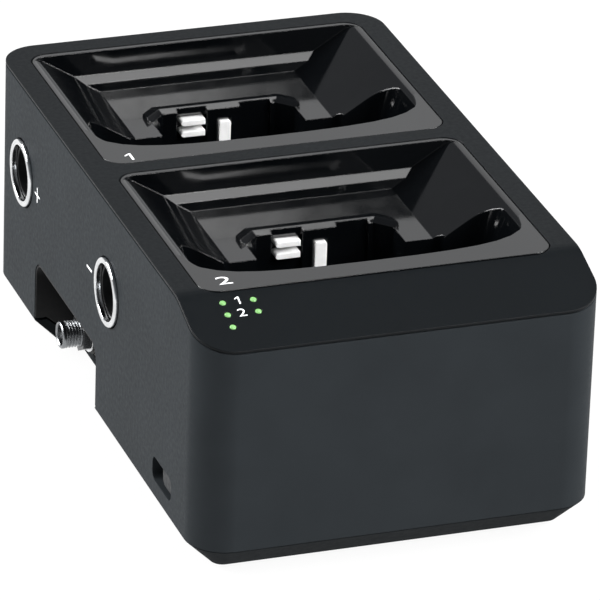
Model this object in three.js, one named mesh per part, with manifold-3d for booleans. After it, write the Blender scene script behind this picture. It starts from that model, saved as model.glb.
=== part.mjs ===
// Two-bay docking charger for pocket-size wireless transmitters.
// Millimetres. +Z is up, the front faces -Y, the power jack and the link sockets are on the -X side.
// The origin is on the desk under the middle of the case.
import * as THREE from 'three';
import { mergeVertices } from 'three/addons/utils/BufferGeometryUtils.js';
import { ConvexGeometry } from 'three/addons/geometries/ConvexGeometry.js';
import Module from 'manifold-3d';

const wasm = await Module();
wasm.setup();

// ---- case -------------------------------------------------------------------------------------
const CASE_HALF_X = 49.5;
const CASE_HALF_Y = 82.5;
const CASE_TOP = 66.0;
const CASE_CORNER = 9.5;
const WALL = 2.5;
const GAP = 0.3;
const FOOT_HEIGHT = 1.5;
const CHAMFER_INSET = 6.5;
const BASE_TOP = FOOT_HEIGHT + CHAMFER_INSET;
const BASE_SEAM = 0.08;
const BASE_FLOOR = FOOT_HEIGHT + 2.2;

// ---- top cover --------------------------------------------------------------------------------
const CREASE_Y = -63.0;
const FRONT_EDGE_Z = 59.7;
const COVER_EDGE = 0.5;
const COVER_SEAM = 0.45;
const COVER_THICK = 2.4;
const PANEL_SLOPE = (CASE_TOP - FRONT_EDGE_Z) / (CASE_HALF_Y + CREASE_Y);
const PANEL_ANGLE = Math.atan(PANEL_SLOPE);

// ---- charging bays ----------------------------------------------------------------------------
const BAY_PITCH = 72.8;
const FRONT_BAY_Y = -29.9;
const BAY_HALF_X = 43.5;
const BAY_HALF_Y = 33.8;
const BAY_CORNER = 5.0;
const INSERT_TOP = CASE_TOP - 0.1;
const INSERT_WALL = 2.0;
const TRAY_FLOOR = 56.0;
const FACET_ANGLE = THREE.MathUtils.degToRad(31.5);
const SHOULDER_RADIUS = 4.5;
const LIP_DEPTH = 6.6;
const WELL_FLOOR = 24.0;
const WELL_FRONT = -(BAY_HALF_Y - LIP_DEPTH);
const NARROW_HALF_X = 18.6;
const NARROW_REAR = 11.9;
const NARROW_CHAMFER = 3.8;
const SLOT_HALF_X = 27.6;
const POCKET_HALF_X = 40.8;
const POCKET_REAR = -2.1;
const POCKET_LOW_HALF_X = 34.0;
const POCKET_LOW_Z = 44.0;
const RIM_TOP = 57.1;
const RIM_BEVEL = 1.45;
const RIM_DROP = 0.95;
const RIM_CREST = 2.4;
const REAR_DRAFT = THREE.MathUtils.degToRad(3);

// ---- charging contacts ------------------------------------------------------------------------
const TAB_X = -7.0;
const TAB_WIDTH = 6.2;
const TAB_HEIGHT = 1.4;
const TAB_LEVELS = [53.5, 50.5];
const BLADE_X = 1.3;
const BLADE_WIDTH = 3.0;
const BLADE_BOTTOM = 45.2;
const BLADE_TOP = 53.0;
const CONTACT_FRONT = 10.8;
const CONTACT_BACK = 17.5;
const CONTACT_TRAVEL = 1.0;
const CONTACT_CLEARANCE = 0.15;
const CARRIER_X0 = -12.4;
const CARRIER_X1 = 14.8;
const CARRIER_Y0 = NARROW_REAR + INSERT_WALL + GAP;
const CARRIER_Y1 = 22.0;
const CARRIER_BOTTOM = 41.0;
const CARRIER_TOP = 54.7;

// ---- link sockets, power jack and slide switch on the -X side -----------------------------------
const LINK_Z = 42.8;
const LINK_PLUS_Y = 58.7;
const LINK_MINUS_Y = -11.6;
const RING_OUTER = 8.5;
const RING_INNER = 7.0;
const RING_PROUD = 0.9;
const NOTCH_FRONT = -3.0;
const NOTCH_REAR = 46.4;
const NOTCH_TOP = 24.0;
const NOTCH_BACK_X = -38.6;
const NOTCH_CORNER = 4.0;
const NOTCH_COLLAR = 0.5;
const JACK_Y = 32.6;
const JACK_Z = 10.2;
const JACK_TIP_X = -47.5;
const JACK_THREAD = 3.4;
const SWITCH_Y = -55.65;
const SWITCH_Z = 15.0;
const SWITCH_SLOT_LENGTH = 14.1;
const SWITCH_SLOT_HEIGHT = 6.0;
const SWITCH_CORNER = 2.0;
const KNOB_LENGTH = 8.2;
const KNOB_FACE = -48.7;
const KNOB_REST_Y = SWITCH_Y - (SWITCH_SLOT_LENGTH - KNOB_LENGTH) / 2 + GAP;

// ---- inside -----------------------------------------------------------------------------------
const BOARD_BOTTOM = 5.2;
const BOARD_TOP = 6.8;
const CASE_SCREW_X = 38.0;
const CASE_SCREW_Y = 71.0;
const BOARD_SCREW_X = 30.0;
const BOARD_SCREW_Y = 48.0;
const FOOT_X = 35.0;
const FOOT_Y = 58.0;

// ---- materials --------------------------------------------------------------------------------
const LOOK = {
  shell: { color: 0x3a3d40, roughness: 0.55, metalness: 0.0 },
  cover: { color: 0x2b2e31, roughness: 0.5, metalness: 0.0 },
  gloss: { color: 0x121315, roughness: 0.12, metalness: 0.0 },
  blackPlastic: { color: 0x1a1a1b, roughness: 0.6, metalness: 0.0 },
  greyPlastic: { color: 0x55585b, roughness: 0.5, metalness: 0.0 },
  chrome: { color: 0xd8dadc, roughness: 0.12, metalness: 1.0 },
  nickel: { color: 0xb9b8b2, roughness: 0.28, metalness: 1.0 },
  contact: { color: 0xe6e6e2, roughness: 0.25, metalness: 1.0 },
  steel: { color: 0x9a9ca0, roughness: 0.35, metalness: 1.0 },
  green: { color: 0x9ee08a, roughness: 0.3, metalness: 0.0 },
  board: { color: 0x1f5a3c, roughness: 0.6, metalness: 0.0 },
  ferrite: { color: 0x3b3a3c, roughness: 0.7, metalness: 0.0 },
  aluminium: { color: 0xb4b7bb, roughness: 0.35, metalness: 0.9 },
  chip: { color: 0x202124, roughness: 0.5, metalness: 0.0 },
  rubber: { color: 0x171717, roughness: 0.9, metalness: 0.0 },
};

const group = new THREE.Group();
group.name = 'two_bay_docking_charger';

// ---- solid helpers ----------------------------------------------------------------------------
function solid(geometry) {
  const bare = geometry.clone();
  bare.deleteAttribute('normal');
  bare.deleteAttribute('uv');
  const merged = mergeVertices(bare, 1e-4);
  const mesh = new wasm.Mesh({
    numProp: 3,
    vertProperties: new Float32Array(merged.getAttribute('position').array),
    triVerts: new Uint32Array(merged.getIndex().array),
  });
  return new wasm.Manifold(mesh);
}

function add(name, body, look) {
  const data = body.getMesh();
  const geometry = new THREE.BufferGeometry();
  geometry.setAttribute('position', new THREE.BufferAttribute(new Float32Array(data.vertProperties), 3));
  geometry.setIndex(new THREE.BufferAttribute(new Uint32Array(data.triVerts), 1));
  geometry.computeVertexNormals();
  const mesh = new THREE.Mesh(geometry, new THREE.MeshStandardMaterial({ ...look, name }));
  mesh.name = name;
  group.add(mesh);
}

function extruded(shape, depth, segments) {
  return new THREE.ExtrudeGeometry(shape, { depth, bevelEnabled: false, curveSegments: segments });
}

// A shape drawn in X, Y and raised from z0 to z1.
function prismZ(shape, z0, z1, segments = 6) {
  return solid(extruded(shape, z1 - z0, segments).translate(0, 0, z0));
}

// A shape drawn in Y, Z and drawn out from x0 to x1.
function prismX(shape, x0, x1, segments = 6) {
  const turn = new THREE.Matrix4().makeBasis(
    new THREE.Vector3(0, 1, 0), new THREE.Vector3(0, 0, 1), new THREE.Vector3(1, 0, 0));
  return solid(extruded(shape, x1 - x0, segments).applyMatrix4(turn).translate(x0, 0, 0));
}

// A shape drawn in X, Z and drawn out from y0 to y1.
function prismY(shape, y0, y1, segments = 6) {
  const turn = new THREE.Matrix4().makeBasis(
    new THREE.Vector3(1, 0, 0), new THREE.Vector3(0, 0, 1), new THREE.Vector3(0, -1, 0));
  return solid(extruded(shape, y1 - y0, segments).applyMatrix4(turn).translate(0, y1, 0));
}

function block(x0, x1, y0, y1, z0, z1) {
  const geometry = new THREE.BoxGeometry(x1 - x0, y1 - y0, z1 - z0);
  return solid(geometry.translate((x0 + x1) / 2, (y0 + y1) / 2, (z0 + z1) / 2));
}

function hull(points) {
  return solid(new ConvexGeometry(points));
}

function uprightCylinder(x, y, radius, z0, z1, sides = 24) {
  const geometry = new THREE.CylinderGeometry(radius, radius, z1 - z0, sides);
  return solid(geometry.rotateX(Math.PI / 2).translate(x, y, (z0 + z1) / 2));
}

function sidewaysCylinder(x0, x1, y, z, radius, sides = 24) {
  const geometry = new THREE.CylinderGeometry(radius, radius, x1 - x0, sides);
  return solid(geometry.rotateZ(Math.PI / 2).translate((x0 + x1) / 2, y, z));
}

// A turned piece. Each profile point is a radius and a distance along the axis.
function turned(profile, sides) {
  return new THREE.LatheGeometry(profile.map(([r, h]) => new THREE.Vector2(r, h)), sides);
}

function turnedUp(profile, x, y, sides = 20) {
  return solid(turned(profile, sides).rotateX(Math.PI / 2).translate(x, y, 0));
}

function turnedSideways(profile, y, z, sides = 32) {
  return solid(turned(profile, sides).rotateZ(-Math.PI / 2).translate(0, y, z));
}

function polygon(points) {
  return new THREE.Shape(points.map(([a, b]) => new THREE.Vector2(a, b)));
}

function roundedRect(a0, a1, b0, b1, radius) {
  const shape = new THREE.Shape();
  shape.moveTo(a0 + radius, b0);
  shape.lineTo(a1 - radius, b0);
  shape.absarc(a1 - radius, b0 + radius, radius, -Math.PI / 2, 0, false);
  shape.lineTo(a1, b1 - radius);
  shape.absarc(a1 - radius, b1 - radius, radius, 0, Math.PI / 2, false);
  shape.lineTo(a0 + radius, b1);
  shape.absarc(a0 + radius, b1 - radius, radius, Math.PI / 2, Math.PI, false);
  shape.lineTo(a0, b0 + radius);
  shape.absarc(a0 + radius, b0 + radius, radius, Math.PI, 1.5 * Math.PI, false);
  return shape;
}

function caseOutline(inset) {
  const x = CASE_HALF_X - inset;
  const y = CASE_HALF_Y - inset;
  return roundedRect(-x, x, -y, y, CASE_CORNER - inset);
}

function outlinePoints(shape, z, segments = 6) {
  return shape.getPoints(segments).map((p) => new THREE.Vector3(p.x, p.y, z));
}

function fourCorners(x, y, make) {
  const places = [['front_left', -x, -y], ['front_right', x, -y], ['rear_left', -x, y], ['rear_right', x, y]];
  for (const [label, px, py] of places) make(label, px, py);
}

// The space under the cover surface, lowered by a drop: flat on top, sloping at the indicator panel.
function underRoof(drop) {
  const ease = 2.5;
  const top = CASE_TOP - drop;
  const frontY = -CASE_HALF_Y - 5;
  const shape = new THREE.Shape();
  shape.moveTo(CASE_HALF_Y + 5, -5);
  shape.lineTo(CASE_HALF_Y + 5, top);
  shape.lineTo(CREASE_Y + ease, top);
  shape.quadraticCurveTo(CREASE_Y, top, CREASE_Y - ease, top - ease * PANEL_SLOPE);
  shape.lineTo(frontY, top + (frontY - CREASE_Y) * PANEL_SLOPE);
  shape.lineTo(frontY, -5);
  shape.closePath();
  return prismX(shape, -CASE_HALF_X - 5, CASE_HALF_X + 5, 4);
}

// A point on the sloping indicator panel: a distance down the slope and a depth under the surface.
function onPanel(x, along, depth) {
  const y = CREASE_Y - along * Math.cos(PANEL_ANGLE) + depth * Math.sin(PANEL_ANGLE);
  const z = CASE_TOP - along * Math.sin(PANEL_ANGLE) - depth * Math.cos(PANEL_ANGLE);
  return new THREE.Vector3(x, y, z);
}

function panelCylinder(x, along, radius, depth0, depth1, sides = 16) {
  const geometry = new THREE.CylinderGeometry(radius, radius, depth1 - depth0, sides);
  geometry.rotateX(Math.PI / 2 + PANEL_ANGLE);
  const middle = onPanel(x, along, (depth0 + depth1) / 2);
  return solid(geometry.translate(middle.x, middle.y, middle.z));
}

// ---- indicator lights: three on the left column, two on the right -------------------------------
const LIGHTS = [
  ['light_1', -39.6, 4.2], ['light_2', -39.6, 8.2], ['light_3', -39.6, 12.3],
  ['light_4', -32.2, 4.2], ['light_5', -32.2, 8.2],
];
const LIGHT_RADIUS = 0.75;

// ---- outer case -------------------------------------------------------------------------------
function notchOpening(x0, x1, grow) {
  const front = NOTCH_FRONT - grow;
  const rear = NOTCH_REAR + grow;
  return prismX(roundedRect(front, rear, -20, NOTCH_TOP + grow, NOTCH_CORNER + grow), x0, x1, 5);
}

function buildBasePlate() {
  const outer = hull([
    ...outlinePoints(caseOutline(CHAMFER_INSET), FOOT_HEIGHT),
    ...outlinePoints(caseOutline(0), BASE_TOP - BASE_SEAM / 2),
  ]);
  const inner = hull([
    ...outlinePoints(caseOutline(CHAMFER_INSET + 1.6), BASE_FLOOR),
    ...outlinePoints(caseOutline(WALL), BASE_TOP + 0.5),
  ]);
  let body = outer.subtract(inner);
  fourCorners(CASE_SCREW_X, CASE_SCREW_Y, (label, x, y) => {
    body = body.add(uprightCylinder(x, y, 4.2, BASE_FLOOR - 0.1, BASE_TOP - 0.4, 20));
    body = body.subtract(uprightCylinder(x, y, 3.0, 0, 4.6, 20));
    body = body.subtract(uprightCylinder(x, y, 1.4, 4, BASE_TOP + 1, 14));
  });
  fourCorners(BOARD_SCREW_X, BOARD_SCREW_Y, (label, x, y) => {
    body = body.add(uprightCylinder(x, y, 3.0, BASE_FLOOR - 0.1, BOARD_BOTTOM - GAP, 18));
    body = body.subtract(uprightCylinder(x, y, 1.25, 2.3, BOARD_BOTTOM + 1, 14));
  });
  fourCorners(FOOT_X, FOOT_Y, (label, x, y) => {
    body = body.subtract(uprightCylinder(x, y, 5.8, 0, FOOT_HEIGHT + 0.5, 24));
  });
  body = body.subtract(block(-60, NOTCH_BACK_X, NOTCH_FRONT, NOTCH_REAR, -1, 20));
  add('base_plate', body, LOOK.shell);
}

function buildHousingShell() {
  const outer = prismZ(caseOutline(0), BASE_TOP + BASE_SEAM / 2, CASE_TOP + 5)
    .intersect(underRoof(COVER_EDGE + COVER_SEAM));
  let body = outer.subtract(prismZ(caseOutline(WALL), 0, CASE_TOP + 10));
  fourCorners(CASE_SCREW_X, CASE_SCREW_Y, (label, x, y) => {
    const towards = Math.sign(x);
    const wallX = (CASE_HALF_X - WALL / 2) * towards;
    const rib = block(Math.min(x, wallX), Math.max(x, wallX), y - 0.9, y + 0.9, BASE_TOP + 0.2, 30);
    body = body.add(rib).add(uprightCylinder(x, y, 3.4, BASE_TOP, 30, 20));
    body = body.subtract(uprightCylinder(x, y, 1.25, 0, 20, 14));
  });
  for (const y of [LINK_PLUS_Y, LINK_MINUS_Y]) {
    body = body.subtract(sidewaysCylinder(-55, -45, y, LINK_Z, RING_OUTER + GAP, 40));
  }
  const half = SWITCH_SLOT_LENGTH / 2;
  const tall = SWITCH_SLOT_HEIGHT / 2;
  const slot = roundedRect(SWITCH_Y - half, SWITCH_Y + half, SWITCH_Z - tall, SWITCH_Z + tall, SWITCH_CORNER);
  body = body.subtract(prismX(slot, -55, -45, 8));
  body = body.subtract(notchOpening(-55, -45, NOTCH_COLLAR + GAP / 2));
  add('housing_shell', body, LOOK.shell);
}

function buildTopCover() {
  const roof = underRoof(0);
  const edge = prismZ(caseOutline(0), 40, CASE_TOP + 5).intersect(roof).subtract(underRoof(COVER_EDGE));
  const inside = prismZ(caseOutline(WALL + GAP), 40, CASE_TOP + 5)
    .intersect(underRoof(COVER_EDGE / 2)).subtract(underRoof(COVER_THICK));
  let body = edge.add(inside);
  for (const bayY of [FRONT_BAY_Y, FRONT_BAY_Y + BAY_PITCH]) {
    const opening = roundedRect(-BAY_HALF_X, BAY_HALF_X, bayY - BAY_HALF_Y, bayY + BAY_HALF_Y, BAY_CORNER);
    body = body.subtract(prismZ(opening, 40, CASE_TOP + 5));
  }
  for (const [, x, along] of LIGHTS) {
    body = body.subtract(panelCylinder(x, along, LIGHT_RADIUS + 0.2, -2, 8));
  }
  add('top_cover', body, LOOK.cover);
}

// ---- bay insert -------------------------------------------------------------------------------
// Everything here is drawn about the middle of one bay opening and then moved to its place.

// Half of the tray section across the bay: floor, inclined facet and rounded shoulder.
function traySection() {
  const shoulderX = BAY_HALF_X - 2 * GAP;
  const endX = shoulderX - SHOULDER_RADIUS * Math.sin(FACET_ANGLE);
  const endZ = INSERT_TOP - SHOULDER_RADIUS * (1 - Math.cos(FACET_ANGLE));
  const floorX = endX - (endZ - TRAY_FLOOR) / Math.tan(FACET_ANGLE);
  const centreZ = INSERT_TOP - SHOULDER_RADIUS;
  const shape = new THREE.Shape();
  shape.moveTo(-floorX, TRAY_FLOOR);
  shape.lineTo(floorX, TRAY_FLOOR);
  shape.lineTo(endX, endZ);
  shape.absarc(shoulderX, centreZ, SHOULDER_RADIUS, Math.PI / 2 + FACET_ANGLE, Math.PI / 2, true);
  shape.lineTo(shoulderX, CASE_TOP + 5);
  shape.lineTo(-shoulderX, CASE_TOP + 5);
  shape.absarc(-shoulderX, centreZ, SHOULDER_RADIUS, Math.PI / 2, Math.PI / 2 - FACET_ANGLE, true);
  shape.closePath();
  return shape;
}

// The section along the bay: rear wall with a little draft, and a step and bevel low down.
function trayLengthSection() {
  const rear = BAY_HALF_Y - GAP - 1.2;
  const stepZ = TRAY_FLOOR + 3.7;
  const foot = rear - (CASE_TOP - stepZ) * Math.tan(REAR_DRAFT);
  const above = rear + 5 * Math.tan(REAR_DRAFT);
  return polygon([
    [WELL_FRONT - 1, TRAY_FLOOR], [foot - 2.8, TRAY_FLOOR], [foot - 2.4, TRAY_FLOOR + 2.3],
    [foot, stepZ], [above, CASE_TOP + 5], [WELL_FRONT - 1, CASE_TOP + 5],
  ]);
}

// The opening seen from above: square rear corners and a bowed front lip.
function mouthOutline() {
  const side = BAY_HALF_X - 2 * GAP;
  const rear = BAY_HALF_Y - GAP - 1.2;
  const shape = new THREE.Shape();
  shape.moveTo(0, WELL_FRONT);
  shape.bezierCurveTo(24, WELL_FRONT, 34, WELL_FRONT + 1.2, 39.4, WELL_FRONT + 6.8);
  shape.quadraticCurveTo(41, WELL_FRONT + 8.6, 41.6, WELL_FRONT + 14);
  shape.lineTo(side, WELL_FRONT + 15);
  shape.lineTo(side, rear - 4);
  shape.absarc(side - 4, rear - 4, 4, 0, Math.PI / 2, false);
  shape.lineTo(-side + 4, rear);
  shape.absarc(-side + 4, rear - 4, 4, Math.PI / 2, Math.PI, false);
  shape.lineTo(-side, WELL_FRONT + 15);
  shape.lineTo(-41.6, WELL_FRONT + 14);
  shape.quadraticCurveTo(-41, WELL_FRONT + 8.6, -39.4, WELL_FRONT + 6.8);
  shape.bezierCurveTo(-34, WELL_FRONT + 1.2, -24, WELL_FRONT, 0, WELL_FRONT);
  return shape;
}

function narrowWell(grow, front) {
  const x = NARROW_HALF_X + grow;
  const y = NARROW_REAR + grow;
  const cut = NARROW_CHAMFER + grow * (2 - Math.SQRT2);
  return polygon([
    [-x, front], [x, front], [x, y - cut], [x - cut, y], [-x + cut, y], [-x, y - cut],
  ]);
}

function pocket(grow, front, floor) {
  const high = roundedRect(-POCKET_HALF_X - grow, POCKET_HALF_X + grow, front, POCKET_REAR + grow, 6.5);
  const lowX = POCKET_LOW_HALF_X + grow;
  const low = roundedRect(-lowX, lowX, front, POCKET_REAR + grow - 1, 3);
  return hull([...outlinePoints(high, INSERT_TOP + 0.3, 4), ...outlinePoints(low, POCKET_LOW_Z, 4)])
    .add(prismZ(low, floor, POCKET_LOW_Z + 0.1, 4));
}

function insertOuter() {
  const side = BAY_HALF_X - GAP;
  const end = BAY_HALF_Y - GAP;
  const lean = Math.tan(FACET_ANGLE);
  const underX = 26.05;
  const underZ = TRAY_FLOOR - INSERT_WALL;
  const bandZ = 61.4;
  const bandX = underX + (bandZ - underZ) / lean;
  const section = polygon([
    [-underX, underZ], [underX, underZ], [bandX, bandZ], [side, bandZ], [side, INSERT_TOP],
    [-side, INSERT_TOP], [-side, bandZ], [-bandX, bandZ],
  ]);
  const plan = roundedRect(-side, side, -end, end, BAY_CORNER - GAP);
  const tray = prismY(section, -end, end).intersect(prismZ(plan, 40, CASE_TOP + 5));
  const flangePlan = roundedRect(-side - 1.2, side + 1.2, -end - 1.2, end + 1.2, BAY_CORNER + 0.9);
  const flange = prismZ(flangePlan, bandZ, bandZ + 1.2)
    .subtract(prismZ(roundedRect(-side + 2, side - 2, -end + 1.1, end - 1.1, 3), 40, 80));
  const under = WELL_FLOOR - INSERT_WALL;
  const wellFront = WELL_FRONT - INSERT_WALL;
  const slotX = SLOT_HALF_X + INSERT_WALL;
  const wells = pocket(INSERT_WALL, wellFront, under)
    .add(prismZ(narrowWell(INSERT_WALL, wellFront), under, TRAY_FLOOR - 1))
    .add(prismZ(roundedRect(-slotX, slotX, wellFront, INSERT_WALL, 3), under, TRAY_FLOOR - 1));
  const lipSpace = block(-30, 30, -end + 1.5, wellFront - 0.6, 40, INSERT_TOP - 2);
  return tray.add(flange).subtract(lipSpace).add(wells.intersect(block(-43, 43, -40, 40, 0, INSERT_TOP - 1)));
}

function insertInner() {
  const mouth = prismZ(mouthOutline(), 0, CASE_TOP + 5);
  const tray = prismY(traySection(), -40, 40).intersect(prismX(trayLengthSection(), -60, 60));
  const slot = prismZ(roundedRect(-SLOT_HALF_X, SLOT_HALF_X, WELL_FRONT - 1, 0, 2), WELL_FLOOR, CASE_TOP, 4);
  const narrow = prismZ(narrowWell(0, WELL_FRONT - 1), WELL_FLOOR, CASE_TOP);
  return tray.add(slot).add(narrow).add(pocket(0, WELL_FRONT - 1, WELL_FLOOR)).intersect(mouth);
}

// The low rim behind the narrow well: a crest that falls away backwards and a lead-in bevel.
function wellRim() {
  const front = NARROW_REAR - NARROW_CHAMFER;
  const side = NARROW_HALF_X + 1.2;
  const crest = outlinePoints(narrowWell(RIM_BEVEL, front), RIM_TOP);
  const foot = narrowWell(RIM_BEVEL + RIM_CREST, front);
  const lift = hull([...crest, ...outlinePoints(foot, RIM_TOP - 0.4), ...outlinePoints(foot, TRAY_FLOOR - 0.5)])
    .intersect(block(-side, side, front, BAY_HALF_Y, 50, CASE_TOP));
  const wide = outlinePoints(narrowWell(RIM_BEVEL, front - 0.2), RIM_TOP + 0.01);
  const tight = outlinePoints(narrowWell(0, front - 0.4), RIM_TOP - RIM_DROP);
  return [lift, hull([...wide, ...tight])];
}

function contactWindows() {
  const tabSide = TAB_WIDTH / 2 + 0.8;
  const tabs = block(TAB_X - tabSide, TAB_X + tabSide, 11, 16, TAB_LEVELS[1] - 1.6, TAB_LEVELS[0] + 1.2);
  const tabGroove = block(TAB_X - tabSide, TAB_X + tabSide, 11, 13, 44, 60);
  const spareGroove = block(5.4, 13.5, 11, 13, 44, 60);
  const bladeSide = BLADE_WIDTH / 2 + GAP;
  const blade = block(BLADE_X - bladeSide, BLADE_X + bladeSide, 11, 16, BLADE_BOTTOM - GAP, BLADE_TOP + GAP);
  const carrierSeat = block(
    CARRIER_X0 - GAP, CARRIER_X1 + GAP, CARRIER_Y0 - GAP, CARRIER_Y1 + GAP, 40, CARRIER_TOP + GAP,
  );
  return tabs.add(tabGroove).add(spareGroove).add(blade).add(carrierSeat);
}

function buildInsert(name, bayY) {
  const [lift, bevel] = wellRim();
  const inner = insertInner();
  const throat = prismZ(narrowWell(0, 0), WELL_FLOOR + 5, CASE_TOP);
  const body = insertOuter().subtract(inner).add(lift.subtract(throat))
    .subtract(bevel).subtract(contactWindows());
  add(name, body.translate([0, bayY, 0]), LOOK.gloss);
}

// ---- charging contacts ------------------------------------------------------------------------
function tabShape(level, grow) {
  const x0 = TAB_X - TAB_WIDTH / 2;
  const x1 = TAB_X + TAB_WIDTH / 2;
  const half = TAB_HEIGHT / 2;
  const shape = new THREE.Shape();
  shape.moveTo(x1 + grow, level - half - grow);
  shape.lineTo(x1 + grow, level + half + grow);
  shape.lineTo(x0 + half, level + half + grow);
  shape.absarc(x0 + half, level, half + grow, Math.PI / 2, 1.5 * Math.PI, false);
  shape.closePath();
  return shape;
}

function bladeShape(grow) {
  const half = BLADE_WIDTH / 2 + grow;
  return roundedRect(BLADE_X - half, BLADE_X + half, BLADE_BOTTOM - grow, BLADE_TOP + grow, 0.5);
}

function buildContacts(place, bayY) {
  const shapes = [
    ['upper', tabShape(TAB_LEVELS[0], 0), tabShape(TAB_LEVELS[0], CONTACT_CLEARANCE)],
    ['lower', tabShape(TAB_LEVELS[1], 0), tabShape(TAB_LEVELS[1], CONTACT_CLEARANCE)],
    ['blade', bladeShape(0), bladeShape(CONTACT_CLEARANCE)],
  ];
  let carrier = block(CARRIER_X0, CARRIER_X1, CARRIER_Y0, CARRIER_Y1, CARRIER_BOTTOM, CARRIER_TOP);
  for (const [label, face, hole] of shapes) {
    carrier = carrier.subtract(prismY(hole, 10, CONTACT_BACK + CONTACT_TRAVEL + 0.4, 5));
    const contact = prismY(face, CONTACT_FRONT, CONTACT_BACK, 5);
    add(`contact_${place}_${label}`, contact.translate([0, bayY, 0]), LOOK.contact);
  }
  add(`contact_carrier_${place}`, carrier.translate([0, bayY, 0]), LOOK.blackPlastic);
}

// ---- link sockets -----------------------------------------------------------------------------
function buildLinkSocket(label, y) {
  const face = -(CASE_HALF_X + RING_PROUD);
  const inWall = -(CASE_HALF_X - WALL - GAP);
  const ring = [
    [RING_INNER, face + 0.2], [RING_INNER + 0.2, face], [RING_OUTER - 0.3, face], [RING_OUTER, face + 0.3],
    [RING_OUTER, inWall], [RING_OUTER + 0.9, inWall], [RING_OUTER + 0.9, inWall + 1], [RING_INNER, inWall + 1],
    [RING_INNER, face + 0.2],
  ];
  add(`link_ring_${label}`, turnedSideways(ring, y, LINK_Z, 48), LOOK.chrome);
  const cup = [
    [0, -36.5], [6.1, -36.5], [6.7, -37.1], [6.7, -44.9], [6.7, -48.9], [6.0, -48.9], [6.0, -38.0], [0, -38.0],
  ];
  add(`link_cup_${label}`, turnedSideways(cup.reverse(), y, LINK_Z, 36), LOOK.blackPlastic);
  const sleeve = [
    [4.9, -38.4], [4.9, -45.8], [5.2, -46.3], [5.7, -46.3], [5.7, -38.4], [4.9, -38.4],
  ];
  add(`link_contact_${label}`, turnedSideways(sleeve, y, LINK_Z, 32), LOOK.nickel);
}

// ---- power jack -------------------------------------------------------------------------------
function buildJackRecess() {
  const near = -(CASE_HALF_X - WALL - GAP - 0.1);
  const back = NOTCH_BACK_X + 2;
  const floor = BASE_FLOOR + GAP;
  const side = polygon([
    [near, NOTCH_TOP + 2], [near, BASE_TOP + 0.6], [-41.0, floor], [back, floor], [back, NOTCH_TOP + 2],
  ]);
  const collar = notchOpening(-(CASE_HALF_X - 0.15), near + 0.1, NOTCH_COLLAR)
    .subtract(block(-60, 0, NOTCH_FRONT - 5, NOTCH_REAR + 5, -30, BASE_TOP + 0.6));
  let body = prismY(side, NOTCH_FRONT - 2, NOTCH_REAR + 2).add(collar);
  const hollow = roundedRect(NOTCH_FRONT, NOTCH_REAR, -20, NOTCH_TOP, NOTCH_CORNER);
  body = body.subtract(prismX(hollow, -60, NOTCH_BACK_X, 5));
  body = body.add(sidewaysCylinder(NOTCH_BACK_X - 1.1, NOTCH_BACK_X + 0.5, JACK_Y, JACK_Z, 5.6, 28));
  body = body.subtract(sidewaysCylinder(-60, -30, JACK_Y, JACK_Z, JACK_THREAD + GAP, 28));
  add('jack_recess', body, LOOK.blackPlastic);
}

function buildJack() {
  const nutFace = -42.6;
  const ridges = 6;
  const threadStart = JACK_TIP_X + 1.3;
  const pitch = (nutFace - 0.2 - threadStart) / ridges;
  const root = JACK_THREAD - 0.4;
  const profile = [
    [2.6, JACK_TIP_X + 0.2], [2.8, JACK_TIP_X], [JACK_THREAD - 0.2, JACK_TIP_X], [JACK_THREAD, JACK_TIP_X + 0.3],
  ];
  for (let i = 0; i < ridges; i += 1) {
    const start = threadStart + i * pitch;
    profile.push([JACK_THREAD, start], [root, start + pitch * 0.4], [JACK_THREAD, start + pitch * 0.8]);
  }
  profile.push([JACK_THREAD, -36.3], [4.8, -36.3], [4.8, -35.3], [2.6, -35.3], [2.6, JACK_TIP_X + 0.2]);
  add('jack_barrel', turnedSideways(profile, JACK_Y, JACK_Z, 32), LOOK.nickel);

  const washer = [[3.6, -40.5], [5.0, -40.5], [5.0, -39.9], [3.6, -39.9], [3.6, -40.5]];
  add('jack_washer', turnedSideways(washer, JACK_Y, JACK_Z, 32), LOOK.chrome);

  const corners = [0, 1, 2, 3, 4, 5].map((i) => {
    const angle = (i * Math.PI) / 3 + Math.PI / 6;
    return [JACK_Y + 4.9 * Math.cos(angle), JACK_Z + 4.9 * Math.sin(angle)];
  });
  const nut = prismX(polygon(corners), nutFace, -40.6)
    .subtract(sidewaysCylinder(-50, -35, JACK_Y, JACK_Z, JACK_THREAD + 0.1, 32));
  add('jack_nut', nut, LOOK.steel);

  const insulator = [[1.0, -40.4], [2.35, -40.4], [2.35, -35.4], [1.0, -35.4], [1.0, -40.4]];
  add('jack_insulator', turnedSideways(insulator, JACK_Y, JACK_Z, 20), LOOK.blackPlastic);
  const pin = [[0, -45.6], [0.5, -45.6], [0.85, -45.2], [0.85, -35.3], [0, -35.3]];
  add('jack_pin', turnedSideways(pin, JACK_Y, JACK_Z, 16), LOOK.contact);
  add('jack_body', block(-35.0, -25, JACK_Y - 5.5, JACK_Y + 5.5, BOARD_TOP + GAP, 15.8), LOOK.blackPlastic);
}

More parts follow.
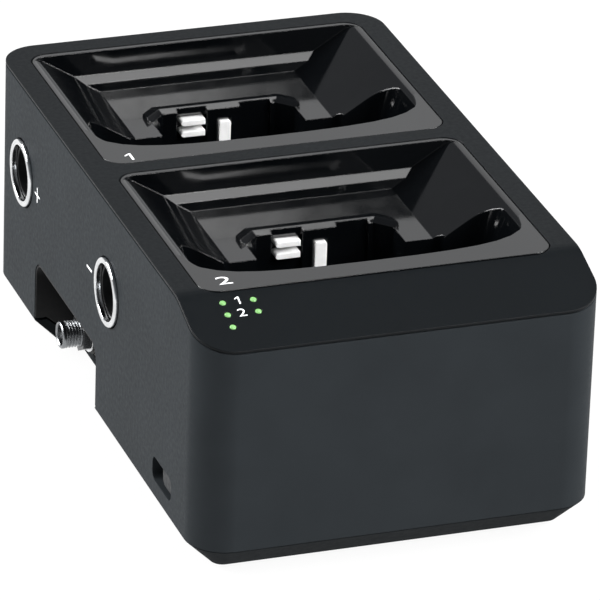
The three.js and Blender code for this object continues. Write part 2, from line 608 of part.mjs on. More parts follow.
// ---- slide switch -----------------------------------------------------------------------------
function buildSwitch() {
  const length = KNOB_LENGTH / 2;
  const bottom = SWITCH_Z - SWITCH_SLOT_HEIGHT / 2 + 1.1;
  const top = SWITCH_Z + SWITCH_SLOT_HEIGHT / 2 - GAP;
  const wallBack = -(CASE_HALF_X - WALL);
  const cap = roundedRect(KNOB_REST_Y - length, KNOB_REST_Y + length, bottom, top, SWITCH_CORNER - GAP / 2);
  const knob = prismX(cap, KNOB_FACE, wallBack + GAP + 0.1, 6);
  const slideX = wallBack + GAP;
  const slide = block(slideX, slideX + 0.8, KNOB_REST_Y - 10.5, KNOB_REST_Y + 10.2, SWITCH_Z - 4, SWITCH_Z + 4);
  add('switch_knob', knob.add(slide), LOOK.greyPlastic);
  const front = wallBack + 2 * GAP + 0.8;
  const body = block(front, front + 5.5, SWITCH_Y - 6.5, SWITCH_Y + 6.5, BASE_TOP + 0.8, SWITCH_Z + 4.5);
  const leg = block(front + 3, front + 5.5, SWITCH_Y - 6.5, SWITCH_Y + 6.5, BOARD_TOP + GAP, BASE_TOP + 1);
  add('switch_body', body.add(leg), LOOK.blackPlastic);
}

// ---- indicator lights -------------------------------------------------------------------------
function buildLights() {
  for (const [name, x, along] of LIGHTS) {
    const stem = panelCylinder(x, along, LIGHT_RADIUS, 0.05, 3.6);
    const collar = panelCylinder(x, along, LIGHT_RADIUS + 0.6, COVER_THICK + GAP, 3.6);
    add(name, stem.add(collar), LOOK.green);
  }
  const corners = [];
  for (const x of [-46, -26]) {
    for (const along of [3.6, 14.6]) {
      for (const depth of [3.9, 4.9]) corners.push(onPanel(x, along, depth));
    }
  }
  add('indicator_board', hull(corners), LOOK.board);
}

// ---- circuit board and its larger pieces --------------------------------------------------------
function buildElectronics() {
  let board = block(-34, 34, -66, 66, BOARD_BOTTOM, BOARD_TOP);
  board = board.add(block(-42.5, -33, SWITCH_Y - 6.5, SWITCH_Y + 6.5, BOARD_BOTTOM, BOARD_TOP));
  fourCorners(BOARD_SCREW_X, BOARD_SCREW_Y, (label, x, y) => {
    board = board.subtract(uprightCylinder(x, y, 1.5, 0, 20, 14));
  });
  add('main_board', board, LOOK.board);
  const onBoard = BOARD_TOP + GAP / 2;
  const bays = [['front', FRONT_BAY_Y], ['rear', FRONT_BAY_Y + BAY_PITCH]];
  for (const [place, bayY] of bays) {
    const inductor = roundedRect(8, 20.5, bayY - 22, bayY - 9.5, 2.5);
    add(`inductor_${place}`, prismZ(inductor, onBoard, onBoard + 6.5, 4), LOOK.ferrite);
    add(`controller_chip_${place}`, block(-8, 0, bayY - 20, bayY - 12, onBoard, onBoard + 1.2), LOOK.chip);
    add(`contact_header_${place}`, block(-8, 8, bayY + 20, bayY + 25, onBoard, onBoard + 6), LOOK.greyPlastic);
    const can = [[0, onBoard], [4, onBoard], [4, onBoard + 11.5], [3.6, onBoard + 12], [0, onBoard + 12]];
    add(`capacitor_${place}`, turnedUp(can, 26, bayY - 3), LOOK.aluminium);
  }
}

// ---- screws and feet --------------------------------------------------------------------------
const SHANK_RADIUS = 1.1;

function headDownScrew(headRadius, head, shoulder, tip) {
  return [
    [0, head], [headRadius, head], [headRadius, shoulder],
    [SHANK_RADIUS, shoulder], [SHANK_RADIUS, tip], [0, tip],
  ];
}

function headUpScrew(headRadius, tip, shoulder, head) {
  return [
    [0, tip], [SHANK_RADIUS, tip], [SHANK_RADIUS, shoulder],
    [headRadius, shoulder], [headRadius, head], [0, head],
  ];
}

function buildFastenersAndFeet() {
  fourCorners(CASE_SCREW_X, CASE_SCREW_Y, (label, x, y) => {
    add(`case_screw_${label}`, turnedUp(headDownScrew(2.6, 2.0, 4.3, 17), x, y, 18), LOOK.steel);
  });
  fourCorners(BOARD_SCREW_X, BOARD_SCREW_Y, (label, x, y) => {
    const screw = headUpScrew(2.5, 2.5, BOARD_TOP + 0.15, BOARD_TOP + 1.8);
    add(`board_screw_${label}`, turnedUp(screw, x, y, 18), LOOK.steel);
  });
  fourCorners(FOOT_X, FOOT_Y, (label, x, y) => {
    const disc = [[0, 0], [5.0, 0], [5.5, 0.5], [5.5, FOOT_HEIGHT + 0.35], [0, FOOT_HEIGHT + 0.35]];
    add(`foot_${label}`, turnedUp(disc, x, y, 24), LOOK.rubber);
  });
}

buildBasePlate();
buildHousingShell();
buildTopCover();
for (const [place, bayY] of [['front', FRONT_BAY_Y], ['rear', FRONT_BAY_Y + BAY_PITCH]]) {
  buildInsert(`bay_insert_${place}`, bayY);
  buildContacts(place, bayY);
}
buildLinkSocket('plus', LINK_PLUS_Y);
buildLinkSocket('minus', LINK_MINUS_Y);
buildJackRecess();
buildJack();
buildSwitch();
buildLights();
buildElectronics();
buildFastenersAndFeet();

export default group;
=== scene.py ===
import math

import bmesh
import bpy
from mathutils import Matrix, Vector
from mathutils.bvhtree import BVHTree


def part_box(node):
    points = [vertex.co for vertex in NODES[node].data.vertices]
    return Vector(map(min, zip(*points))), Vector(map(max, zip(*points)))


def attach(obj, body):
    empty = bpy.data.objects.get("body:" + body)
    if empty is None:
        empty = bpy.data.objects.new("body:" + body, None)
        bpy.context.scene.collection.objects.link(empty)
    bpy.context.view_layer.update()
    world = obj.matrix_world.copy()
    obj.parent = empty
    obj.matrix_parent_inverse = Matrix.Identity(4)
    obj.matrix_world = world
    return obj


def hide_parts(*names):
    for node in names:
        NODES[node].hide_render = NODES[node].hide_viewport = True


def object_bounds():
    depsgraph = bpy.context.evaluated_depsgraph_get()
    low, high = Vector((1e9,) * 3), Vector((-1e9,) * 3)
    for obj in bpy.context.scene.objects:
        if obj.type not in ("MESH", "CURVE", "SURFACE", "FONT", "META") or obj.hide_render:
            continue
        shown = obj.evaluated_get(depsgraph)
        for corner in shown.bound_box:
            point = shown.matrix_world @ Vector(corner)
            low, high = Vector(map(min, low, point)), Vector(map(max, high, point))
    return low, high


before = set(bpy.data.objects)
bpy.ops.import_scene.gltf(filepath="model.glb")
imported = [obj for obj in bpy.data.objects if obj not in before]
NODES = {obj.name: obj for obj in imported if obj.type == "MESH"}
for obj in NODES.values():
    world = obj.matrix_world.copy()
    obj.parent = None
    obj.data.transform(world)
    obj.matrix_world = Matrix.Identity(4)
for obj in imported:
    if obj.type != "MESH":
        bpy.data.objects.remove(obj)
CAD_LOW, CAD_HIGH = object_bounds()
SCENE = bpy.context.scene
MM = 0.001
EAST, NORTH, UP = Vector((1, 0, 0)), Vector((0, 1, 0)), Vector((0, 0, 1))


# ---- camera -------------------------------------------------------------------------------------
CAMERA_AZIMUTH = math.radians(-19.8)
CAMERA_ELEVATION = math.radians(25.8)
CAMERA_ROLL = math.radians(2.0)
CAMERA_DISTANCE = 1.521
CAMERA_LENS = 373.4
CAMERA_AIM = (-0.0040, -0.0261)


def make_camera():
    """A long lens a little left of the front and above it, rolled slightly."""
    sine, cosine = math.sin(CAMERA_AZIMUTH), math.cos(CAMERA_AZIMUTH)
    level, rise = math.cos(CAMERA_ELEVATION), math.sin(CAMERA_ELEVATION)
    back = Vector((sine * level, -cosine * level, rise))
    flat_right = Vector((cosine, sine, 0))
    flat_up = back.cross(flat_right)
    right = flat_right * math.cos(CAMERA_ROLL) + flat_up * math.sin(CAMERA_ROLL)
    up = flat_up * math.cos(CAMERA_ROLL) - flat_right * math.sin(CAMERA_ROLL)
    data = bpy.data.cameras.new("camera")
    data.sensor_width = 36
    data.lens = CAMERA_LENS
    data.clip_start = 0.05
    data.clip_end = 50
    camera = bpy.data.objects.new("camera", data)
    place = back * CAMERA_DISTANCE - right * CAMERA_AIM[0] - up * CAMERA_AIM[1]
    turn = Matrix((right, up, back)).transposed().to_4x4()
    camera.matrix_world = Matrix.Translation(place) @ turn
    SCENE.collection.objects.link(camera)
    SCENE.camera = camera


make_camera()
SCENE.view_settings.view_transform = "Standard"


# ---- node materials -----------------------------------------------------------------------------
NOISE_ROUGHNESS = 0.55
EDGE_RADIUS = 0.35 * MM


class Maker:
    """Small helper that adds nodes to one material and joins them."""

    def __init__(self, name):
        self.material = bpy.data.materials.new(name)
        self.material.use_nodes = True
        self.tree = self.material.node_tree
        self.shader = self.tree.nodes["Principled BSDF"]
        self.place = self.add("ShaderNodeTexCoord").outputs["Object"]

    def add(self, kind, **settings):
        node = self.tree.nodes.new(kind)
        for key, value in settings.items():
            setattr(node, key, value)
        return node

    def join(self, start, end):
        self.tree.links.new(start, end)

    def noise(self, size, detail, stretch=None):
        """Noise whose blobs are about size metres across."""
        source = self.place
        if stretch:
            mapping = self.add("ShaderNodeMapping")
            mapping.inputs["Scale"].default_value = stretch
            self.join(source, mapping.inputs["Vector"])
            source = mapping.outputs["Vector"]
        texture = self.add("ShaderNodeTexNoise")
        texture.inputs["Scale"].default_value = 1 / size
        texture.inputs["Detail"].default_value = detail
        texture.inputs["Roughness"].default_value = NOISE_ROUGHNESS
        self.join(source, texture.inputs["Vector"])
        return texture.outputs["Fac"]

    def ramp(self, value, *stops):
        """Colours or greys at places from 0 to 1."""
        node = self.add("ShaderNodeValToRGB")
        elements = node.color_ramp.elements
        while len(elements) > len(stops):
            elements.remove(elements[-1])
        while len(elements) < len(stops):
            elements.new(0.5)
        for element, (where, colour) in zip(elements, stops):
            element.position = where
            if not isinstance(colour, tuple):
                colour = (colour, colour, colour)
            element.color = (*colour, 1)
        self.join(value, node.inputs["Fac"])
        return node.outputs["Color"]

    def colour(self, value, *stops):
        self.join(self.ramp(value, *stops), self.shader.inputs["Base Color"])

    def roughness(self, value, low, high):
        self.join(self.ramp(value, (0.3, low), (0.7, high)), self.shader.inputs["Roughness"])

    def bumps(self, *layers):
        """Stacked bumps over softly rounded edges; a layer is a height source and its depth in metres."""
        rounding = self.add("ShaderNodeBevel", samples=4)
        rounding.inputs["Radius"].default_value = EDGE_RADIUS
        normal = rounding.outputs["Normal"]
        for height, depth in layers:
            node = self.add("ShaderNodeBump")
            node.inputs["Strength"].default_value = 1.0
            node.inputs["Distance"].default_value = depth
            self.join(height, node.inputs["Height"])
            self.join(normal, node.inputs["Normal"])
            normal = node.outputs["Normal"]
        self.join(normal, self.shader.inputs["Normal"])

    def fixed(self, **values):
        for key, value in values.items():
            self.shader.inputs[key.replace("_", " ")].default_value = value


def tinted(base, factor):
    return tuple(c * factor for c in base)


def moulded_plastic(name, base, low, high, grain, depth, specular):
    """Matt moulded plastic with a spark-eroded grain and faint cloudiness."""
    m = Maker(name)
    m.colour(m.noise(0.018, 4), (0.3, tinted(base, 0.93)), (0.7, tinted(base, 1.08)))
    m.roughness(m.noise(0.0011, 2), low, high)
    m.bumps((m.noise(grain * 4, 2), depth * 2), (m.noise(grain, 3), depth))
    m.fixed(Specular_IOR_Level=specular)
    return m.material


def glossy_plastic(name):
    """Polished black moulding: slow waviness, fine rub marks and a little dust."""
    m = Maker(name)
    m.colour(m.noise(0.03, 2), (0.35, (0.0011, 0.0014, 0.0018)), (0.65, (0.0019, 0.0023, 0.0028)))
    m.roughness(m.noise(0.004, 4), 0.07, 0.12)
    m.bumps((m.noise(0.014, 1), 0.00003), (m.noise(0.0006, 3, stretch=(1, 6, 1)), 0.0000010))
    m.fixed(Specular_IOR_Level=0.5, Coat_Weight=0.25, Coat_Roughness=0.05)
    return m.material


METAL_MARK = 0.0012


def metal(name, base, low, high, streak, depth, metallic=1.0):
    """Plated metal with turning or brushing marks along one direction."""
    m = Maker(name)
    m.colour(m.noise(0.004, 3), (0.3, tinted(base, 0.86)), (0.7, base))
    m.roughness(m.noise(METAL_MARK, 3, stretch=streak), low, high)
    m.bumps((m.noise(METAL_MARK / 4, 2, stretch=streak), depth))
    m.fixed(Metallic=metallic)
    return m.material


def lit_plastic(name):
    """Milky green light pipe, brighter in its cloudy middle."""
    m = Maker(name)
    m.colour(m.noise(0.0004, 2), (0.3, (0.07, 0.16, 0.05)), (0.7, (0.11, 0.24, 0.08)))
    glow = m.ramp(m.noise(0.0005, 1), (0.3, (0.26, 0.66, 0.18)), (0.7, (0.50, 0.95, 0.40)))
    m.join(glow, m.shader.inputs["Emission Color"])
    m.roughness(m.noise(0.0005, 2), 0.18, 0.30)
    m.fixed(Emission_Strength=0.50)
    return m.material


def solder_board(name):
    """Green board: mottled resist over a faint weave."""
    m = Maker(name)
    m.colour(m.noise(0.003, 4), (0.35, (0.010, 0.055, 0.024)), (0.65, (0.018, 0.085, 0.036)))
    m.roughness(m.noise(0.001, 2), 0.28, 0.42)
    m.bumps((m.noise(0.0005, 1, stretch=(1, 8, 1)), 0.00002))
    return m.material


def printed_ink(name):
    """White print, slightly uneven."""
    m = Maker(name)
    m.colour(m.noise(0.0008, 3), (0.3, (0.84, 0.85, 0.86)), (0.7, (0.94, 0.95, 0.96)))
    m.roughness(m.noise(0.0004, 2), 0.42, 0.58)
    m.bumps((m.noise(0.00015, 2), 0.000008))
    return m.material


CASE_GREY = (0.0196, 0.0228, 0.0254)
COVER_BLACK = (0.0020, 0.0031, 0.0040)
# The base plate grey is the case grey at six tenths. It is painted shade for the downward-facing chamfer,
# which the glowing floor would otherwise light.
SHADED_CASE_GREY = (0.0118, 0.0138, 0.0153)
SOFT_BLACK = (0.0030, 0.0034, 0.0038)
CONTACT_WHITE = (0.97, 0.97, 0.965)

SLOT_MATERIALS = {
    "case_plastic": moulded_plastic("case_grain", CASE_GREY, 0.42, 0.55, 0.00030, 0.000007, 0.03),
    "cover_plastic": moulded_plastic("cover_grain", COVER_BLACK, 0.38, 0.48, 0.00030, 0.000005, 0.13),
    "gloss_black": glossy_plastic("insert_gloss"),
    "black_plastic": moulded_plastic("black_grain", SOFT_BLACK, 0.45, 0.6, 0.0004, 0.00001, 0.2),
    "grey_plastic": moulded_plastic("knob_grain", (0.012, 0.0135, 0.015), 0.45, 0.60, 0.0003, 0.00001, 0.3),
    "bright_chrome": metal("polished_chrome", (0.80, 0.81, 0.82), 0.08, 0.16, (1, 5, 5), 0.000001),
    "nickel_plate": metal("turned_nickel", (0.27, 0.28, 0.29), 0.22, 0.36, (8, 1, 1), 0.000003),
    "contact_plate": metal("plated_contact", CONTACT_WHITE, 0.34, 0.46, (6, 1, 1), 0.000001, metallic=0.1),
    "steel": metal("zinc_steel", (0.56, 0.56, 0.57), 0.18, 0.34, (2, 2, 6), 0.000004),
    "green_light": lit_plastic("green_pipe"),
    "circuit_board": solder_board("board_resist"),
    "ferrite": moulded_plastic("ferrite_grain", (0.030, 0.030, 0.031), 0.5, 0.7, 0.0003, 0.00002, 0.4),
    "capacitor_can": metal("brushed_can", (0.72, 0.73, 0.74), 0.20, 0.34, (1, 1, 8), 0.000003),
    "chip_body": moulded_plastic("chip_epoxy", (0.012, 0.012, 0.013), 0.45, 0.6, 0.0002, 0.00001, 0.4),
    "rubber_foot": moulded_plastic("foot_rubber", (0.014, 0.014, 0.014), 0.6, 0.8, 0.0006, 0.00003, 0.3),
}
NUT_METAL = metal("blackened_nut", (0.085, 0.088, 0.092), 0.22, 0.36, (2, 2, 6), 0.000004)
# Base plate material: a darker copy of the case plastic, with painted shade in its colour.
PAINTED_SHADE_BASE_GRAIN = moulded_plastic("base_grain_painted_shade", SHADED_CASE_GREY, 0.50, 0.62, 0.00040, 0.000010, 0.01)
INK = printed_ink("printed_ink")
OWN_MATERIALS = {"base_plate": PAINTED_SHADE_BASE_GRAIN, "jack_nut": NUT_METAL}


# ---- pieces -------------------------------------------------------------------------------------
def dress(thing, material):
    """Gives every face of the piece one material."""
    slots = thing.material_slots
    if not slots:
        thing.data.materials.append(material)
    for slot in slots:
        slot.material = material


def object_from(name, builder):
    """Turns a bmesh into an object in the scene."""
    mesh = bpy.data.meshes.new(name)
    builder.to_mesh(mesh)
    builder.free()
    thing = bpy.data.objects.new(name, mesh)
    SCENE.collection.objects.link(thing)
    return thing


def piece_from(name, builder, slot, material=None):
    """A finished piece from a bmesh, fixed to the case."""
    thing = object_from(name, builder)
    dress(thing, material or SLOT_MATERIALS[slot])
    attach(thing, "case")
    return thing


def bridge(builder, one, two):
    """Joins two closed loops of the same length with a band of faces."""
    steps = len(one)
    for i in range(steps):
        j = (i + 1) % steps
        builder.faces.new((one[i], one[j], two[j], two[i]))


def smooth_and_face_out(builder):
    """Shades a closed shape smooth and turns its faces outwards."""
    for face in builder.faces:
        face.smooth = True
    bmesh.ops.recalc_face_normals(builder, faces=builder.faces)


def centre_of(node):
    low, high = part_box(node)
    return (low + high) / 2


def shade_tree(limit):
    """A node group that welds a mesh and shades it smooth between its hard edges."""
    tree = bpy.data.node_groups.new("weld_and_shade", "GeometryNodeTree")
    tree.interface.new_socket("Geometry", in_out="INPUT", socket_type="NodeSocketGeometry")
    tree.interface.new_socket("Geometry", in_out="OUTPUT", socket_type="NodeSocketGeometry")
    start = tree.nodes.new("NodeGroupInput")
    end = tree.nodes.new("NodeGroupOutput")
    weld = tree.nodes.new("GeometryNodeMergeByDistance")
    weld.inputs["Distance"].default_value = 0.000002
    strip = tree.nodes.new("GeometryNodeRemoveAttribute")
    strip.inputs["Name"].default_value = "custom_normal"
    faces = tree.nodes.new("GeometryNodeSetShadeSmooth")
    faces.domain = "FACE"
    edges = tree.nodes.new("GeometryNodeSetShadeSmooth")
    edges.domain = "EDGE"
    edges.inputs["Shade Smooth"].default_value = False
    angle = tree.nodes.new("GeometryNodeInputMeshEdgeAngle")
    compare = tree.nodes.new("FunctionNodeCompare")
    compare.data_type = "FLOAT"
    compare.operation = "GREATER_THAN"
    compare.inputs[1].default_value = limit
    tree.links.new(angle.outputs["Unsigned Angle"], compare.inputs[0])
    tree.links.new(compare.outputs["Result"], edges.inputs["Selection"])
    chain = [start, strip, weld, faces, edges, end]
    for before, after in zip(chain, chain[1:]):
        tree.links.new(before.outputs["Geometry"], after.inputs["Geometry"])
    return tree


SHADE_TREE = shade_tree(math.radians(28))


def shade(thing):
    """Smooth curved faces; the larger a flat face is, the more it keeps its own direction."""
    group = thing.modifiers.new("shade", "NODES")
    group.node_group = SHADE_TREE
    weighted = thing.modifiers.new("flat_faces", "WEIGHTED_NORMAL")
    weighted.mode = "FACE_AREA"
    weighted.weight = 50
    weighted.keep_sharp = True


def dress_frame():
    """Each node from the frame takes its own material or the material of its slot."""
    for name, thing in NODES.items():
        slot_name = thing.data.materials[0].name
        dress(thing, OWN_MATERIALS.get(name, SLOT_MATERIALS[slot_name]))
        shade(thing)


dress_frame()


# ---- link rings and threaded jack ---------------------------------------------------------------
def lathe(profile, steps, centre, wave=None):
    """Turns (radius, x) pairs about a line along X; wave may change a radius with x and angle."""
    builder = bmesh.new()
    loops = []
    for radius, x in profile:
        loop = []
        for i in range(steps):
            angle = 2 * math.pi * i / steps
            r = wave(radius, x, angle) if wave else radius
            place = (x * MM, centre.y + r * MM * math.cos(angle), centre.z + r * MM * math.sin(angle))
            loop.append(builder.verts.new(place))
        loops.append(loop)
    for one, two in zip(loops, loops[1:] + loops[:1]):
        bridge(builder, one, two)
    smooth_and_face_out(builder)
    return builder


ARC_STEPS = 4


def arc(radius, x, size, start, end):
    """Points of a small fillet, as (radius, x) pairs; angles in degrees."""
    points = []
    for i in range(ARC_STEPS + 1):
        angle = math.radians(start + (end - start) * i / ARC_STEPS)
        points.append((radius + size * math.cos(angle), x + size * math.sin(angle)))
    return points


RING_BORE = 7.0
RING_RIM = 8.5
RING_FLANGE = 9.4
RING_FLANGE_DEPTH = 1.0
RING_ROLL = 0.45
RING_BEAD = 0.28
RING_STEPS = 96


def make_ring(label):
    """Chrome bezel: rolled outer edge, shallow dish and a tight bead round the bore."""
    node = "link_ring_" + label
    low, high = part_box(node)
    face, back = low.x / MM, high.x / MM
    wall = back - RING_FLANGE_DEPTH
    profile = arc(RING_RIM - RING_ROLL, face + RING_ROLL, RING_ROLL, 0, -90)
    profile += [(RING_RIM - 0.75, face + 0.06), (RING_BORE + 0.55, face + 0.16)]
    profile += arc(RING_BORE + RING_BEAD, face + 0.30, RING_BEAD, -60, -180)
    profile += [(RING_BORE, wall), (RING_BORE, back), (RING_FLANGE, back), (RING_FLANGE, wall)]
    profile += [(RING_RIM, wall)]
    ring = piece_from("bezel_" + label, lathe(profile, RING_STEPS, centre_of(node)), "bright_chrome")
    shade(ring)
    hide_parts(node)


THREAD_PITCH = 0.75
THREAD_DEPTH = 0.42
THREAD_FADE = 0.4
THREAD_LEAD_IN = 0.9
NUT_CLEARANCE = 0.05
SECTIONS_PER_TURN = 12
BARREL_STEPS = 64
BARREL_RADIUS = 3.4
BARREL_BORE = 2.6
BARREL_FLANGE = 4.8
BARREL_FLANGE_DEPTH = 1.0


def thread_wave(start, end):
    """Helical ridges between two places along X, fading in and out."""
    def wave(radius, x, angle):
        if not start <= x <= end:
            return radius
        turn = ((x - start) / THREAD_PITCH - angle / (2 * math.pi)) % 1.0
        valley = max(0.0, min(1.0, 2.2 * (1 - abs(2 * turn - 1)) - 0.35))
        fade = min(1.0, (x - start) / THREAD_FADE, (end - x) / THREAD_FADE)
        return radius - THREAD_DEPTH * valley * max(0.0, fade)
    return wave


def make_barrel():
    """Nickel barrel of the power jack with a real helical thread."""
    low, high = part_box("jack_barrel")
    tip, back = low.x / MM, high.x / MM
    outer, flange = BARREL_RADIUS, back - BARREL_FLANGE_DEPTH
    start, end = tip + THREAD_LEAD_IN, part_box("jack_nut")[0].x / MM - NUT_CLEARANCE
    profile = [(BARREL_BORE, back), (BARREL_BORE, tip + 0.3), (BARREL_BORE + 0.3, tip)]
    profile += [(outer - 0.25, tip), (outer, tip + 0.25)]
    count = int((end - start) / THREAD_PITCH * SECTIONS_PER_TURN)
    profile += [(outer, start + (end - start) * i / count) for i in range(count + 1)]
    profile += [(outer, flange), (BARREL_FLANGE, flange), (BARREL_FLANGE, back)]
    builder = lathe(profile, BARREL_STEPS, centre_of("jack_barrel"), thread_wave(start, end))
    barrel = piece_from("threaded_barrel", builder, "nickel_plate")
    shade(barrel)
    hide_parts("jack_barrel")


make_ring("plus")
make_ring("minus")
make_barrel()


# ---- indicator lenses ---------------------------------------------------------------------------
PANEL_DROP = 6.3
PANEL_RUN = 19.5
PANEL_ANGLE = math.atan2(PANEL_DROP, PANEL_RUN)
PANEL_NORMAL = Vector((0, -math.sin(PANEL_ANGLE), math.cos(PANEL_ANGLE)))
PANEL_DOWN = Vector((0, -math.cos(PANEL_ANGLE), -math.sin(PANEL_ANGLE)))
PANEL_START = Vector((0, -63.0 * MM, 66.0 * MM))
LIGHT_COUNT = 5
LENS_RADIUS = 0.72 * MM
LENS_RISE = 0.22 * MM
LENS_STEPS = 28
LENS_ROWS = 6


def make_lens(index):
    """A low dome on the end of one light pipe."""
    node = NODES[f"light_{index}"]
    corners = [v.co for v in node.data.vertices]
    top = max(c.dot(PANEL_NORMAL) for c in corners)
    rim = [c for c in corners if top - c.dot(PANEL_NORMAL) < 0.00001]
    centre = sum(rim, Vector()) / len(rim)
    builder = bmesh.new()
    loops = []
    for row in range(LENS_ROWS):
        lean = math.pi / 2 * row / LENS_ROWS
        out, up = LENS_RADIUS * math.cos(lean), LENS_RISE * math.sin(lean)
        loop = []
        for i in range(LENS_STEPS):
            angle = 2 * math.pi * i / LENS_STEPS
            flat = EAST * math.cos(angle) + PANEL_DOWN * math.sin(angle)
            loop.append(builder.verts.new(centre + flat * out + PANEL_NORMAL * up))
        loops.append(loop)
    for one, two in zip(loops, loops[1:]):
        bridge(builder, one, two)
    crown = builder.verts.new(centre + PANEL_NORMAL * LENS_RISE)
    for i in range(LENS_STEPS):
        builder.faces.new((loops[-1][i], loops[-1][(i + 1) % LENS_STEPS], crown))
    builder.faces.new(loops[0])
    smooth_and_face_out(builder)
    piece_from(f"lens_{index}", builder, "green_light")


for number in range(1, LIGHT_COUNT + 1):
    make_lens(number)


# ---- printed marks ------------------------------------------------------------------------------
INK_LIFT = 0.02 * MM
RAY_START = 6 * MM


def surface_of(node):
    """A ray-casting tree of one node."""
    mesh = NODES[node].data
    corners = [v.co.copy() for v in mesh.vertices]
    faces = [tuple(f.vertices) for f in mesh.polygons]
    return BVHTree.FromPolygons(corners, faces)


def drape(name, outline, faces, origin, right, up, away, node):
    """Lays a flat printed shape on a node: points (x, y) in millimetres from the origin."""
    tree = surface_of(node)
    builder = bmesh.new()
    corners = []
    for x, y in outline:
        start = origin + right * (x * MM) + up * (y * MM) + away * RAY_START
        hit = tree.ray_cast(start, -away)[0]
        corners.append(builder.verts.new((hit or start) + away * INK_LIFT))
    for face in faces:
        builder.faces.new([corners[i] for i in face])
    piece_from(name, builder, "case_plastic", INK)


def glyph(text, width, height):
    """Outline and faces of a character, stretched to a width and height in millimetres."""
    curve = bpy.data.curves.new("glyph", "FONT")
    curve.body = text
    curve.resolution_u = 6
    thing = bpy.data.objects.new("glyph", curve)
    SCENE.collection.objects.link(thing)
    bpy.context.view_layer.update()
    mesh = bpy.data.meshes.new_from_object(thing.evaluated_get(bpy.context.evaluated_depsgraph_get()))
    bpy.data.objects.remove(thing)
    builder = bmesh.new()
    builder.from_mesh(mesh)
    bmesh.ops.remove_doubles(builder, verts=builder.verts, dist=0.0001)
    bmesh.ops.triangulate(builder, faces=builder.faces)
    xs = [v.co.x for v in builder.verts]
    ys = [v.co.y for v in builder.verts]
    left, wide = min(xs), max(xs) - min(xs)
    foot, tall = min(ys), max(ys) - min(ys)
    outline = [((x - left) / wide * width, (y - foot) / tall * height) for x, y in zip(xs, ys)]
    faces = [tuple(v.index for v in f.verts) for f in builder.faces]
    builder.free()
    bpy.data.meshes.remove(mesh)
    return outline, faces


def numeral_one(width, height):
    """A plain stem with a slanting flag at its top."""
    stem = width * 0.34
    left, flag = width - stem, height * 0.30
    outline = [(left, 0), (width, 0), (width, height), (left, height), (left, height - flag * 0.55),
               (0, height - flag * 1.25), (0, height - flag * 0.80)]
    return outline, [(0, 1, 2, 3, 4), (4, 3, 6, 5)]


def bar(width, low, high):
    """A rectangle centred on its origin sideways, from one height to another."""
    x = width / 2
    return [(-x, low), (x, low), (x, high), (-x, high)], [(0, 1, 2, 3)]


def cover_top(x, y):
    """A place on the top of the cover, in millimetres from the middle of the object."""
    return Vector((x * MM, y * MM, CAD_HIGH.z))


LINE = 0.55
ARM = 2.0
MINUS_LINE = 0.70
LINE_GAP = 0.005


def make_marks():
    """Bay numbers on the lips, light numbers on the panel, polarity signs beside the sockets."""
    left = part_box("housing_shell")[0].x
    one, two = numeral_one(1.7, 3.6), glyph("2", 3.4, 3.9)
    drape("bay_number_1", *one, cover_top(-37.8, 10.9), EAST, NORTH, UP, "bay_insert_rear")
    drape("bay_number_2", *two, cover_top(-38.2, -60.2), EAST, NORTH, UP, "bay_insert_front")
    for name, shape, x, along in (
        ("light_number_1", numeral_one(1.15, 2.4), -36.6, 5.2),
        ("light_number_2", glyph("2", 1.95, 2.5), -37.1, 9.3),
    ):
        corner = PANEL_START + EAST * (x * MM) + PANEL_DOWN * (along * MM)
        drape(name, *shape, corner, EAST, -PANEL_DOWN, PANEL_NORMAL, "top_cover")
    plus = Vector((left, 46.2 * MM, 42.2 * MM))
    minus = Vector((left, 3.0 * MM, 42.3 * MM))
    clear = LINE / 2 + LINE_GAP
    for name, shape, place in (
        ("plus_bar", bar(2 * ARM, -LINE / 2, LINE / 2), plus),
        ("plus_upright_above", bar(LINE, clear, ARM), plus),
        ("plus_upright_below", bar(LINE, -ARM, -clear), plus),
        ("minus_bar", bar(3.9, -MINUS_LINE / 2, MINUS_LINE / 2), minus),
    ):
        drape(name, *shape, place, -NORTH, UP, -EAST, "housing_shell")


make_marks()


# ---- floor, light and surroundings --------------------------------------------------------------
LIGHT_DISTANCE = 3.0
LIGHT_TARGET = Vector((0, 0, 0.04))
FLOOR_CELLS = 24
FLOOR_HALF_WIDTH = 6
FLOOR_GAP = 0.1 * MM


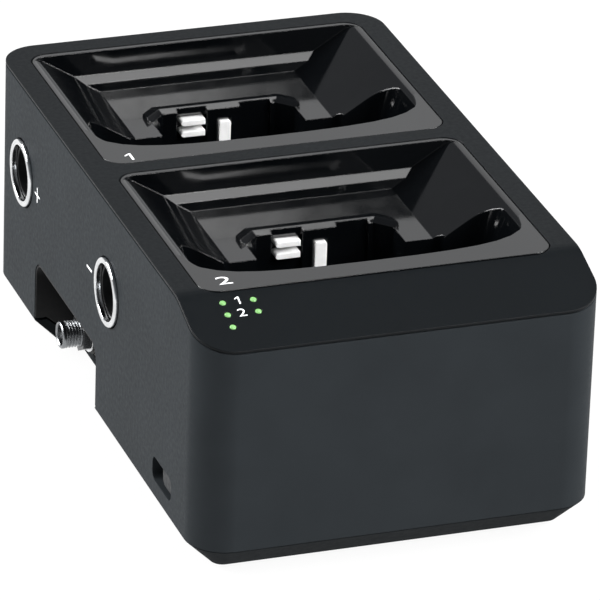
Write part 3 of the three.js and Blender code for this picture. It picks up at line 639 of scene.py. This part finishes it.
def make_floor():
    """A wide pale floor that glows a little, just under the feet."""
    builder = bmesh.new()
    bmesh.ops.create_grid(
        builder, x_segments=FLOOR_CELLS, y_segments=FLOOR_CELLS, size=FLOOR_HALF_WIDTH,
    )
    floor = object_from("floor", builder)
    floor.location = (0, 0, CAD_LOW.z - FLOOR_GAP)
    m = Maker("pale_floor")
    m.colour(m.noise(0.8, 2), (0.3, (0.05, 0.05, 0.05)), (0.7, (0.06, 0.06, 0.06)))
    m.roughness(m.noise(0.5, 2), 0.75, 0.85)
    m.fixed(Emission_Color=(1, 1, 1, 1), Emission_Strength=0.93, Specular_IOR_Level=0.2)
    dress(floor, m.material)


def make_light(name, direction, size, brightness):
    """A soft box of a given size and surface brightness, aimed at the object from far away."""
    data = bpy.data.lights.new(name, "AREA")
    data.shape = "RECTANGLE"
    data.size, data.size_y = size
    data.energy = brightness * math.pi * size[0] * size[1]
    light = bpy.data.objects.new(name, data)
    light.location = Vector(direction).normalized() * LIGHT_DISTANCE
    light.rotation_mode = "QUATERNION"
    light.rotation_quaternion = (LIGHT_TARGET - light.location).to_track_quat("-Z", "Y")
    SCENE.collection.objects.link(light)


def make_world():
    """Light grey at the horizon, darker overhead."""
    world = bpy.data.worlds.new("studio")
    world.use_nodes = True
    tree = world.node_tree
    background = tree.nodes["Background"]
    place = tree.nodes.new("ShaderNodeTexCoord")
    split = tree.nodes.new("ShaderNodeSeparateXYZ")
    tree.links.new(place.outputs["Generated"], split.inputs["Vector"])
    rise = tree.nodes.new("ShaderNodeValToRGB")
    stops = rise.color_ramp.elements
    stops[0].position, stops[0].color = 0.05, (0.45, 0.46, 0.47, 1)
    stops[1].position, stops[1].color = 0.42, (0.20, 0.205, 0.215, 1)
    top = stops.new(0.9)
    top.color = (0.10, 0.10, 0.105, 1)
    tree.links.new(split.outputs["Z"], rise.inputs["Fac"])
    tree.links.new(rise.outputs["Color"], background.inputs["Color"])
    background.inputs["Strength"].default_value = 1.0
    SCENE.world = world


make_floor()
make_world()
make_light("front", (0.196, -0.785, 0.588), (0.62, 0.95), 19)
make_light("right", (0.66, -0.42, 0.62), (2.0, 1.1), 20)
make_light("left_back", (-0.72, 0.42, 0.55), (2.6, 1.3), 17)
make_light("overhead", (0.305, 0.100, 0.947), (1.0, 1.2), 3.6)
make_light("back_card", (0.36, 0.83, 0.43), (1.7, 1.1), 0.6)
